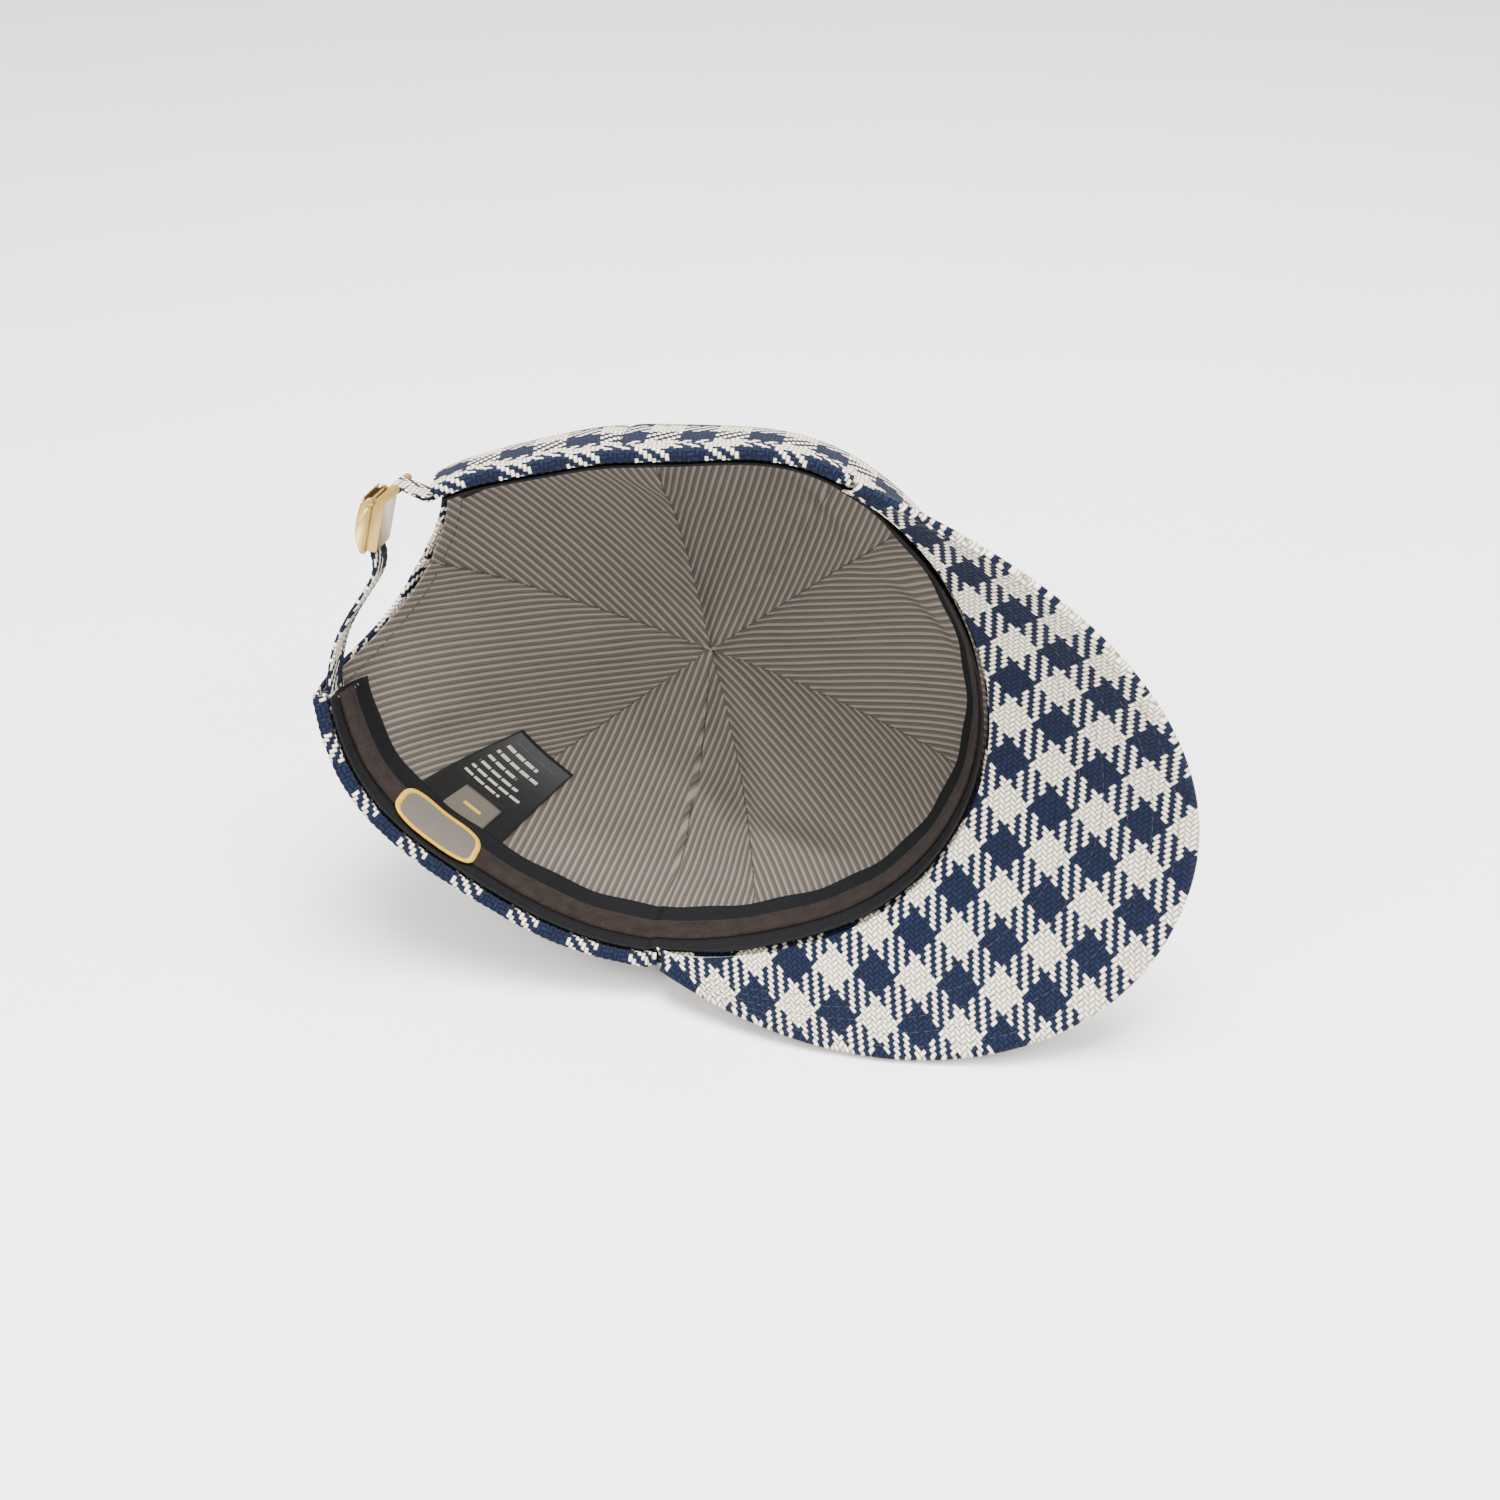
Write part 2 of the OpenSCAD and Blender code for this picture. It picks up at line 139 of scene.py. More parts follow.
# ---- Gingham cloth ----
# A navy and cream check, woven as a coarse two-over-two twill: eight yarns to a check.
# The crown, the peak, the binding, the button and the strap are all cut from it.
yarn = 0.0013
gingham, shader, put, calc, mix, noise, cloth_uv, bump = finish_named("gingham_twill", 0.85)
shader.inputs["Sheen Weight"].default_value = 0.02
shader.inputs["Specular IOR Level"].default_value = 0.15
place, across, along = cloth_uv()
waver = calc("MULTIPLY", calc("SUBTRACT", noise(260.0, 2.0, place), 0.5), 0.55)
u = calc("ADD", calc("DIVIDE", across, yarn), waver)
v = calc("ADD", calc("DIVIDE", along, yarn), waver)
warp, weft = calc("FLOOR", u), calc("FLOOR", v)
u_in, v_in = calc("FRACT", u), calc("FRACT", v)
order = calc("FLOORED_MODULO", calc("SUBTRACT", warp, weft), 4.0)
warp_on_top = calc("LESS_THAN", order, 1.5)
weft_on_top = calc("SUBTRACT", 1.0, warp_on_top)


def navy_band(index):
    return calc("FLOORED_MODULO", calc("FLOOR", calc("DIVIDE", index, 8.0)), 2.0)


navy = calc("ADD", calc("MULTIPLY", warp_on_top, navy_band(warp)),
            calc("MULTIPLY", weft_on_top, navy_band(weft)))


def hump(value, reach=1.0):
    """1 at the middle of 0..2*reach and 0 at its ends."""
    far = calc("DIVIDE", calc("SUBTRACT", value, reach), reach)
    return calc("SUBTRACT", 1.0, calc("MULTIPLY", far, far))


def float_height(side, run):
    """A yarn's roundness across it, and its rise between the two places where it dives."""
    return calc("MULTIPLY", calc("POWER", calc("MAXIMUM", hump(side, 0.5), 0.0), 0.9),
                calc("POWER", calc("MAXIMUM", hump(run), 0.0), 0.5))


warp_run = calc("ADD", calc("SUBTRACT", 1.0, order), v_in)
weft_run = calc("ADD", calc("SUBTRACT", order, 2.0), u_in)
height = calc("ADD", calc("MULTIPLY", warp_on_top, float_height(u_in, warp_run)),
              calc("MULTIPLY", weft_on_top, float_height(v_in, weft_run)))
fibre = noise(5200.0, 3.0, place)
slub = noise(420.0, 2.0, place)
cream_yarn = mix(slub, (0.72, 0.59, 0.43, 1), (1.0, 0.93, 0.80, 1))
navy_yarn = mix(slub, (0.0008, 0.0020, 0.0080, 1), (0.006, 0.014, 0.050, 1))
yarn_colour = mix(navy, cream_yarn, navy_yarn)
# Painted shade: the colour darkens towards each yarn's edges and where it dives under the crossing yarns,
# standing in for the shade in the gaps of the weave; the fibre noise on top is the yarns' own random tone.
painted_gap_shade_and_tone = calc("ADD", 0.03, calc("MULTIPLY", 1.05, calc("POWER", calc("MAXIMUM", height, 0.0), 0.9)))
painted_gap_shade_and_tone = calc("MULTIPLY", painted_gap_shade_and_tone, calc("ADD", 0.82, calc("MULTIPLY", fibre, 0.36)))
grey = bpy.data.materials["gingham_twill"].node_tree.nodes.new("ShaderNodeCombineColor")
for socket in grey.inputs[:3]:
    put(painted_gap_shade_and_tone, socket)
# The yarn colours are multiplied by this painted gap shade and fibre tone.
put(mix(1.0, yarn_colour, grey.outputs[0], "MULTIPLY"), shader.inputs["Base Color"])
bump(calc("ADD", height, calc("MULTIPLY", fibre, 0.12)), 0.00042, 0.9)


# ---- Crown panels ----
# Six gores of the gingham, each cut with its grain along its middle, sewn edge to edge.
# The two at the back are cut away to an arch over the strap.
rim_a, rim_b, crown_h, crown_n, bulge = 102.5, 87.3, 108.0, 2.15, 0.12
slump_fwd, slump_side = 10.0, 6.0
sag_out, sag_in = 9.6, 13.6
peak_angle, tip_x, wide_x, peak_w, peak_n, peak_slope, peak_r = 76.0, 166.5, 40.0, 85.0, 2.12, 0.5, 100.0
seam_1, seam_2, arch_w, arch_h, arch_e = 58.0, 118.0, 36.0, 65.0, 0.7
cap_turn = [math.radians(a) for a in (-105.6, 20.0, -7.5)]
cap_place = (-24.05, -24.55, 96.55)
junction_x = rim_a * math.cos(math.radians(peak_angle))
junction_y = rim_b * math.sin(math.radians(peak_angle))
peak_x0 = junction_x + (peak_r - math.sqrt(peak_r ** 2 - junction_y ** 2)) / peak_slope
axis_x, axis_y, axis_z = (np.array([[1, 0, 0], [0, math.cos(cap_turn[0]), -math.sin(cap_turn[0])],
                                    [0, math.sin(cap_turn[0]), math.cos(cap_turn[0])]]),
                          np.array([[math.cos(cap_turn[1]), 0, math.sin(cap_turn[1])], [0, 1, 0],
                                    [-math.sin(cap_turn[1]), 0, math.cos(cap_turn[1])]]),
                          np.array([[math.cos(cap_turn[2]), -math.sin(cap_turn[2]), 0],
                                    [math.sin(cap_turn[2]), math.cos(cap_turn[2]), 0], [0, 0, 1]]))
lie = axis_z @ axis_y @ axis_x


def laid(points, press=None):
    """Points in the cap's own axes, in millimetres, to the table's axes in metres. Cloth gives
    where it would go through the table: press is how deep a layer lies under the outer face."""
    out = np.asarray(points, float) @ lie.T + np.array(cap_place)
    if press is not None:
        rise = (out[..., 2] - press) / 1.2
        out[..., 2] = press + 1.2 * np.where(rise > 30, rise, np.log1p(np.exp(np.minimum(rise, 30))))
    return out / 1000


def peak_z(x, y):
    return -peak_slope * (x - peak_x0) - (peak_r - np.sqrt(np.maximum(peak_r ** 2 - y * y, 1)))


def sag(phi):
    """How far the limp rim has sagged outwards at each angle."""
    def turned(a):
        return np.abs((a + 180) % 360 - 180)
    return (sag_out * np.exp(-(turned(phi - 150) / 30) ** 3) - sag_in * np.exp(-(turned(phi + 122) / 32) ** 3)
            - 3 * np.exp(-((phi - 54) / 22) ** 2))


def rim_xy(phi, part=1.0):
    x, y = rim_a * np.cos(np.radians(phi)), rim_b * np.sin(np.radians(phi))
    grown = 1 + part * sag(phi) / np.hypot(x, y)
    return x * grown, y * grown


def crown(phi, psi):
    """The crown's outer face: phi goes round from the front, psi up from the rim, in degrees."""
    phi, psi = np.broadcast_arrays(np.asarray(phi, float), np.asarray(psi, float))
    c, s = np.cos(np.radians(psi)), np.maximum(np.sin(np.radians(psi)), 0)
    r = np.maximum(c, 0) ** (2 / crown_n) * (1 + bulge * np.sin(np.radians(2 * psi)))
    q = s ** (2 / crown_n)
    z0 = np.where(abs(phi) < peak_angle, peak_z(*rim_xy(phi)), 0)
    x, y = rim_xy(phi, np.maximum(1 - q, 0) ** 0.6)
    return np.stack([x * r + slump_fwd * q * q, y * r + slump_side * q * q, z0 + (crown_h - z0) * q], -1)


def unit(vectors):
    return vectors / np.maximum(np.linalg.norm(vectors, axis=-1, keepdims=True), 1e-9)


def crown_normal(phi, psi):
    p = np.clip(psi, 1, 87)
    round_step = crown(phi + 0.5, p) - crown(phi - 0.5, p)
    up_step = crown(phi, p + 0.5) - crown(phi, p - 0.5)
    return unit(np.cross(round_step, up_step))


def psi_of(h):
    return np.degrees(np.arcsin(np.clip(np.maximum(h, 0) / crown_h, 0, 1) ** (crown_n / 2)))


def in_crown(phi, h, depth):
    """A point h above the rim and depth inside the crown's outer face."""
    phi, h, depth = np.broadcast_arrays(*(np.asarray(value, float) for value in (phi, h, depth)))
    psi = psi_of(h)
    out = crown(phi, psi) - depth[..., None] * crown_normal(phi, psi)
    out[..., 2] += np.minimum(h, 0)
    return out


def cloth(name, points, uv, thick, finish, body, node=(), closed=False):
    """A woven piece: a grid whose points are moved to their places, with its weave's place in
    metres on the map "cloth", and the cloth's thickness. points run [row][column]."""
    rows, cols = points.shape[:2]
    bpy.ops.mesh.primitive_grid_add(x_subdivisions=cols - 1, y_subdivisions=rows - 1, size=1)
    piece = bpy.context.object
    piece.name = piece.data.name = name
    mesh = piece.data
    mesh.vertices.foreach_set("co", points.reshape(-1, 3).ravel())
    loops = np.empty(len(mesh.loops), int)
    mesh.loops.foreach_get("vertex_index", loops)
    for layer in list(mesh.uv_layers):
        mesh.uv_layers.remove(layer)
    layer = mesh.uv_layers.new(name="cloth")
    layer.data.foreach_set("uv", uv.reshape(-1, 2)[loops].ravel())
    mesh.materials.append(finish)
    mesh.update()
    bpy.ops.object.shade_smooth()
    if closed:
        bpy.ops.object.mode_set(mode="EDIT")
        bpy.ops.mesh.select_all(action="SELECT")
        bpy.ops.mesh.remove_doubles(threshold=1e-6)
        bpy.ops.mesh.normals_make_consistent(inside=False)
        bpy.ops.object.mode_set(mode="OBJECT")
    if thick:
        wall = piece.modifiers.new("cloth", "SOLIDIFY")
        wall.thickness = thick
        wall.offset = -1.0
        wall.use_even_offset = False
        bpy.ops.object.modifier_apply(modifier=wall.name)
    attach(piece, body)
    if node:
        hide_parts(*node)
    piece.select_set(False)
    return piece


def arch_line(turn, grow=0.0):
    """Angles and heights along the edge of the arch, from its corner (0) to its top (90)."""
    c, s = np.maximum(np.cos(np.radians(turn)), 0), np.sin(np.radians(turn))
    return 180 - np.degrees(np.arcsin((arch_w + grow) * c ** arch_e / rim_b)), (arch_h + grow) * s ** arch_e


def gore_columns(first, last, grow=0.0, count=56):
    """Angles of a gore's columns and the height of its lower edge at each."""
    if last < 179:
        return np.linspace(first, last, count), np.zeros(count)
    corner = 180 - math.degrees(math.asin((arch_w + grow) / rim_b))
    side = np.linspace(first, corner, count // 2, endpoint=False)
    turn = np.linspace(0, 90, count - count // 2)
    arch, low = arch_line(turn, grow)
    return np.concatenate([side, arch]), np.concatenate([0 * side, low])


psi_table = np.linspace(0, 89, 400)
rise_at = {}


def up_the_gore(phi_mid, psi):
    """Length of cloth from the rim, up the gore's middle."""
    if phi_mid not in rise_at:
        step = np.linalg.norm(np.diff(crown(phi_mid, psi_table), axis=0), axis=1)
        rise_at[phi_mid] = np.concatenate([[0], np.cumsum(step)])
    return np.interp(psi, psi_table, rise_at[phi_mid])


def cut_area(uv):
    """Area of a flat cut, from the places its cloth takes in the weave."""
    a, b = uv[1:, 1:] - uv[:-1, :-1], uv[1:, :-1] - uv[:-1, 1:]
    return float(abs(a[..., 0] * b[..., 1] - a[..., 1] * b[..., 0]).sum() / 2)


def gore(first, last, side, depth, base, wrinkle, count=56, rows=64, grow=0.0, top=88.6):
    """Points and weave places of one gore, depth under the crown's outer face."""
    phi, low = gore_columns(first, last, grow, count)
    phi = side * phi
    if side < 0:
        phi, low = phi[::-1], low[::-1]
    lo = np.maximum(psi_of(np.maximum(low, base)), 0.1)
    psi = lo + (top - lo) * np.linspace(0, 1, rows)[:, None]
    phi2 = np.broadcast_to(phi, psi.shape)
    mid = side * (first + last) / 2
    ring = np.linalg.norm(np.diff(crown(phi2, psi), axis=1), axis=2)
    dist = np.concatenate([np.zeros((rows, 1)), np.cumsum(ring, axis=1)], axis=1)
    stops = [crown(mid + (phi2 - mid) * k / 12, psi + 0 * phi2) for k in range(13)]
    u = np.sign(phi2 - mid) * sum(np.linalg.norm(b - a, axis=-1) for a, b in zip(stops, stops[1:]))
    v = up_the_gore(mid, psi)
    edge = np.minimum(dist, dist[:, -1:] - dist)
    sunk = 0.7 * np.exp(-(edge / 1.6) ** 2)
    points = crown(phi2, psi) - (depth + sunk + wrinkle(phi2, psi))[..., None] * crown_normal(phi2, psi)
    uv = np.stack([u, v], -1) / 1000
    return laid(points, depth), uv, (float(np.ptp(u)) / 1000, float(np.ptp(v)) / 1000)


def calm(phi, psi):
    """0 where the labels lie on the lining, 1 away from them."""
    beside = np.maximum(abs(phi - 121) - 12, 0) / 9
    beyond = np.maximum(abs(psi - 34) - 18, 0) / 9
    return 1 - np.exp(-beside ** 2 - beyond ** 2)


def crown_wrinkle(phi, psi):
    """Soft hollows of the limp crown, deepest near the top, none at the rim."""
    fade = np.clip(psi / 30, 0, 1) ** 2 * calm(phi, psi)
    a, b = np.radians(phi), np.radians(psi)
    wide_hollow = 0.8 * np.sin(3 * a + 2.2 * b + 0.6)
    small_hollow = 0.6 * np.sin(7 * a - 5 * b + 1.9) * np.sin(4 * b)
    return fade * (0.8 + wide_hollow + small_hollow)


gores = (("front", 0.0, seam_1), ("side", seam_1, seam_2), ("back", seam_2, 180.0))
for side, hand in ((1, "left"), (-1, "right")):
    for part, first, last in gores:
        points, uv, flat = gore(first, last, side, 0.0, 0.0, crown_wrinkle)
        panel = cloth(f"crown_panel_{part}_{hand}", points, uv, 0.0009, gingham, "cap",
                      [f"crown_{part}_{hand}"])
        cut_area(uv)

# ---- Lining ----
# Six thinner gores in a taupe twill with narrow stripes, sewn to the crown at the rim and arch.
# It stands in from the crown in broad soft folds, and lies flat round the labels.
lining, shader, put, calc, mix, noise, cloth_uv, bump = finish_named("striped_lining", 0.8)
shader.inputs["Specular IOR Level"].default_value = 0.15
place, across, along = cloth_uv()
stripe = calc("FRACT", calc("DIVIDE", across, 0.0025))
line_1 = calc("LESS_THAN", calc("ABSOLUTE", calc("SUBTRACT", stripe, 0.20)), 0.085)
line_2 = calc("LESS_THAN", calc("ABSOLUTE", calc("SUBTRACT", stripe, 0.46)), 0.070)
light = calc("LESS_THAN", calc("ABSOLUTE", calc("SUBTRACT", stripe, 0.80)), 0.17)
rib = calc("FRACT", calc("DIVIDE", calc("ADD", across, calc("MULTIPLY", along, 0.8)), 0.00042))
ridge = calc("SUBTRACT", 1.0, calc("ABSOLUTE", calc("SUBTRACT", calc("MULTIPLY", rib, 2.0), 1.0)))
speck = noise(2600.0, 2.0, place)
cloudy = noise(60.0, 2.0, place)
dark = calc("ADD", calc("MULTIPLY", line_1, 0.75), calc("MULTIPLY", line_2, 0.45))
dark = calc("MULTIPLY", dark, calc("ADD", 0.45, calc("MULTIPLY", speck, 1.1)))
ground = mix(cloudy, (0.095, 0.077, 0.062, 1), (0.135, 0.112, 0.092, 1))
lit = mix(calc("MULTIPLY", light, 0.7), ground, (0.33, 0.29, 0.25, 1))
striped = mix(dark, lit, (0.010, 0.008, 0.007, 1))
shadowed = mix(calc("MULTIPLY", calc("SUBTRACT", 1.0, ridge), 0.45), striped, (0.025, 0.020, 0.017, 1))
put(mix(calc("MULTIPLY", speck, 0.30), shadowed, (0.26, 0.23, 0.195, 1)), shader.inputs["Base Color"])
bump(calc("ADD", calc("MULTIPLY", ridge, 0.6), calc("MULTIPLY", light, 0.6)), 0.00016, 0.8)


lining_depth, lining_foot = 1.3, 3.0


def fold(phi, psi, at_phi, at_psi, long, wide, turn, deep):
    """One soft crease: a ridge of the lining that stands in, long one way and narrow the other."""
    a, b = (phi - at_phi) * 1.0, psi - at_psi
    c, s = math.cos(math.radians(turn)), math.sin(math.radians(turn))
    return deep * np.exp(-((a * c + b * s) / long) ** 2 - ((b * c - a * s) / wide) ** 2)


def lining_wrinkle(phi, psi):
    a, b = np.radians(phi), np.radians(psi)
    fade = np.clip((psi - 12) / 22, 0, 1)
    top = np.clip((84 - psi) / 10, 0, 1)
    soft = (1.3 + 0.9 * np.sin(4 * a + 3 * b) + 0.7 * np.sin(9 * a - 4 * b + 1.0)
            + 0.5 * np.sin(15 * a + 9 * b))
    folds = (fold(phi, psi, 62, 46, 24, 8.5, 28, 7.0) + fold(phi, psi, 84, 60, 20, 7.0, 14, 4.5)
             + fold(phi, psi, 44, 36, 16, 7.0, 55, 4.5) + fold(phi, psi, 95, 38, 16, 6.0, -30, 3.5)
             + fold(phi, psi, 140, 40, 3.5, 14, 5, 2.2) + fold(phi, psi, -75, 44, 18, 4.0, 20, 3.5)
             + fold(phi, psi, -40, 40, 14, 3.2, -35, 3.2) + fold(phi, psi, -120, 50, 15, 3.5, 30, 2.6))
    over_prong = 2.1 * np.exp(-((90 - psi) / 7) ** 2)
    loose = fade * top * calm(phi, psi) * (np.maximum(soft, 0) * 0.7 + folds)
    return crown_wrinkle(phi, psi) + over_prong + loose


for side, hand in ((1, "left"), (-1, "right")):
    for part, first, last in gores:
        points, uv, flat = gore(first, last, side, lining_depth, lining_foot, lining_wrinkle,
                                count=90, rows=100, grow=0.9, top=89.9)
        panel = cloth(f"lining_panel_{part}_{hand}", points, uv, 0.0004, lining, "cap",
                      [f"lining_{part}_{hand}"])
        cut_area(uv)

# ---- Peak covers ----
# A stiff board between two layers of gingham cut across the check, turned in and closed
# round the edge, with rows of stitching that follow the outline.
peak_thick = 3.8
grain = math.radians(24)


def signed_power(value, power):
    return np.sign(value) * abs(value) ** power


def peak_normal(x, y, e=0.5):
    slope_x = (peak_z(x - e, y) - peak_z(x + e, y)) / (2 * e)
    slope_y = (peak_z(x, y - e) - peak_z(x, y + e)) / (2 * e)
    return unit(np.stack([slope_x, slope_y, np.ones_like(x)], -1))


def peak_point(t, w, inset, depth):
    """t runs round the peak from -1 to 1 and w from the rim to the outline."""
    a = np.radians(96 * t)
    outer = np.stack([wide_x + (tip_x - wide_x - inset) * signed_power(np.cos(a), 2 / peak_n),
                      (peak_w - inset) * signed_power(np.sin(a), 2 / peak_n)], -1)
    b = np.radians(peak_angle * t)
    inner = np.stack(rim_xy(np.degrees(b)), -1)
    inner = inner * (1 - 2.4 / np.linalg.norm(inner, axis=-1, keepdims=True))
    along_normal = peak_normal(inner[..., 0], inner[..., 1])[..., :2]
    inner = inner + (depth * (1 - abs(t) ** 12))[..., None] * along_normal
    p = inner * (1 - w)[..., None] + outer * w[..., None]
    x, y = p[..., 0], p[..., 1]
    normal = peak_normal(x, y)
    flat_x, flat_y = x * math.sqrt(1 + peak_slope ** 2), peak_r * np.arcsin(np.clip(y / peak_r, -1, 1))
    weave = np.stack([flat_x * math.cos(grain) + flat_y * math.sin(grain),
                      flat_y * math.cos(grain) - flat_x * math.sin(grain)], -1)
    return np.stack([x, y, peak_z(x, y)], -1) - depth[..., None] * normal, weave / 1000


peak_t = np.linspace(-0.985, 0.985, 181)
peak_ws = np.concatenate([np.linspace(0, 1, 46), np.ones(6)])
edge_turn = np.concatenate([np.zeros(46), np.linspace(15, 90, 6)])
half = peak_thick / 2
for name, node, top in (("peak_cover_upper", "peak_upper_cover", True),
                        ("peak_cover_lower", "peak_lower_cover", False)):
    turn = np.radians(edge_turn)
    inset = half * (1 - np.sin(turn))
    depth = half * (1 - np.cos(turn)) * (0.97 if top else 1.0)
    if not top:
        depth = peak_thick - depth * 0.97
    t2, w2 = np.meshgrid(peak_t, peak_ws)
    inset2 = np.broadcast_to(inset[:, None], t2.shape)
    depth2 = np.broadcast_to(depth[:, None], t2.shape)
    points, uv = peak_point(t2, w2, inset2, depth2)
    points = laid(points)
    if top:
        points, uv = points[:, ::-1], uv[:, ::-1]
    cover = cloth(name, points, uv, 0.0009, gingham, "cap", [node])
    cut_area(uv)

# ---- Rim binding ----
# The rim's edge on each side, behind the peak: the gingham is rolled round it, so the yarns
# show as a lumpy cord-like edge.
binding_profile = np.array([[-0.95, 4.5], [-0.95, 1.6], [-0.95, 0.2], [-0.7, -0.9], [-0.1, -1.35],
                            [0.7, -1.55], [1.5, -1.55], [2.3, -1.35], [3.0, -0.8], [3.25, 0.3],
                            [3.25, 1.8], [3.25, 4.3]])
arch_phi = 180 - math.degrees(math.asin(arch_w / rim_b))


def along_curve(points, count):
    """Points at even steps along a smooth curve through some points, and their distances."""
    points = np.asarray(points, float)
    for _ in range(4):
        ends = np.concatenate([points[:1], points, points[-1:]])
        cut = np.stack([0.25 * ends[:-2] + 0.75 * points, 0.75 * points + 0.25 * ends[2:]], 1)
        points = np.concatenate([points[:1], cut.reshape(-1, points.shape[1])[1:-1], points[-1:]])
    far = np.concatenate([[0], np.cumsum(np.linalg.norm(np.diff(points, axis=0), axis=1))])
    even = np.linspace(0, far[-1], count)
    return np.stack([np.interp(even, far, c) for c in points.T], -1), even


roll_points, roll_far = along_curve(binding_profile, 22)
for side, hand in ((1, "left"), (-1, "right")):
    phi = side * np.linspace(peak_angle - 1.2, arch_phi, 620)
    if side < 0:
        phi = phi[::-1]
    edge_line = in_crown(phi, 0, 0)
    far = np.concatenate([[0], np.cumsum(np.linalg.norm(np.diff(edge_line, axis=0), axis=1))])
    far2, roll2 = np.meshgrid(far, roll_far)
    lump = (0.30 * np.abs(np.sin(math.pi * (far2 + 0.35 * roll2) / 2.6))
            + 0.12 * np.sin(far2 / 7.1) * np.sin(far2 / 3.3))
    middle = np.array([1.15, 1.2])
    out_of = unit(roll_points - middle)
    d = roll_points[:, :1] + (lump - 0.18) * out_of[:, :1]
    h = roll_points[:, 1:] + (lump - 0.18) * out_of[:, 1:]
    h0 = np.maximum(h, 0.0)
    points = crown(phi, psi_of(h0)) - d[..., None] * crown_normal(phi, psi_of(h0))
    points[..., 2] += np.minimum(h, 0)
    points = laid(points, 0.0)[::-1]
    weave = (np.stack([far2, roll2 + 6.5], -1) / 1000)[::-1]
    binding = cloth(f"rim_binding_{hand}", points, weave, 0.0008, gingham, "cap", [f"rim_binding_{hand}"])

# ---- Sweatband tape ----
# A black twill tape sewn round the inside of the rim; its free edge stands in from the crown
# and ripples a little. It stops at the corners of the arch.
tape_black, shader, put, calc, mix, noise, cloth_uv, bump = finish_named("black_twill_tape", 0.75)
shader.inputs["Specular IOR Level"].default_value = 0.12
place, across, along = cloth_uv()
diagonal = calc("FRACT", calc("DIVIDE", calc("ADD", across, along), 0.0007))
twill = calc("SUBTRACT", 1.0, calc("ABSOLUTE", calc("SUBTRACT", calc("MULTIPLY", diagonal, 2.0), 1.0)))
lint = noise(900.0, 4.0, place)
put(mix(calc("MULTIPLY", twill, lint), (0.0022, 0.0022, 0.0026, 1), (0.020, 0.020, 0.023, 1)),
    shader.inputs["Base Color"])
bump(calc("ADD", twill, calc("MULTIPLY", lint, 0.5)), 0.00022, 0.8)
tape_w, band_off = 32.0, 4.2


def tape_depth(h):
    return band_off + 6.0 * (np.maximum(h, 0) / tape_w) ** 1.4


def band_points(phi, h, over):
    ripple = 0.35 * np.sin(np.radians(phi) * 23) * (np.clip(h, 0, tape_w) / tape_w) ** 2
    d = tape_depth(h) + over + ripple
    return in_crown(phi, h, d)


def band_cloth(name, first, last, heights, columns, over, thick, finish, body, node, foot=False,
               bulge_at=None):
    phi = np.linspace(first, last, columns)
    step = np.linalg.norm(np.diff(in_crown(phi, 10, band_off), axis=0), axis=1)
    far = np.concatenate([[0], np.cumsum(step)])
    phi2, h2 = np.meshgrid(phi, heights)
    far2 = np.broadcast_to(far, phi2.shape)
    if foot:
        drop = np.clip((abs(phi2) - 62) / 8, 0, 1)
        low = -3.2 * (1 - drop) + 0.3 * drop
        h2 = low + (tape_w - low) * h2 / tape_w
    lift = over if bulge_at is None else over + bulge_at(phi2, h2, far2)
    points = band_points(phi2, h2, lift)
    points = laid(points, tape_depth(0 * h2) + over)
    piece = cloth(name, points, np.stack([far2, h2], -1) / 1000, thick, finish, body, [node])
    return piece, far[-1] / 1000


phi_band = arch_phi - 1
rolled = lambda phi, h, far: 0.5 * np.exp(-((h - 31) / 1.0) ** 2) + 0.35 * np.exp(-((h - 6) / 1.6) ** 2)
tape, tape_long = band_cloth("sweatband_tape", -phi_band, phi_band, np.linspace(0, tape_w, 34), 420, 0.0,
                             0.0007, tape_black, "cap", "sweatband_tape", True, rolled)

# ---- Pile strip ----
# A strip of short brown-black pile sewn along the tape, against the wearer's forehead.
pile, shader, put, calc, mix, noise, cloth_uv, bump = finish_named("pile_strip", 0.95)
shader.inputs["Sheen Weight"].default_value = 0.04
shader.inputs["Specular IOR Level"].default_value = 0.05
place, across, along = cloth_uv()
tufts = noise(1500.0, 5.0, place)
brushed = noise(180.0, 2.0, place)
put(mix(calc("MULTIPLY", tufts, brushed), (0.0035, 0.0022, 0.0018, 1), (0.050, 0.032, 0.026, 1)),
    shader.inputs["Base Color"])
bump(tufts, 0.0006, 1.0)
padded_strip = lambda phi, h, far: (0.55 * np.sqrt(np.clip(1 - ((h - 15.5) / 6.6) ** 2, 0, 1))
                                    + 0.10 * np.sin(far * 1.9) * np.sin(h * 2.1))
strip, strip_long = band_cloth("sweatband_pile_strip", -phi_band + 0.4, phi_band - 0.4,
                               np.linspace(9, 22, 16), 420, 0.75, 0.0006, pile, "cap", "sweatband_strip",
                               False, padded_strip)

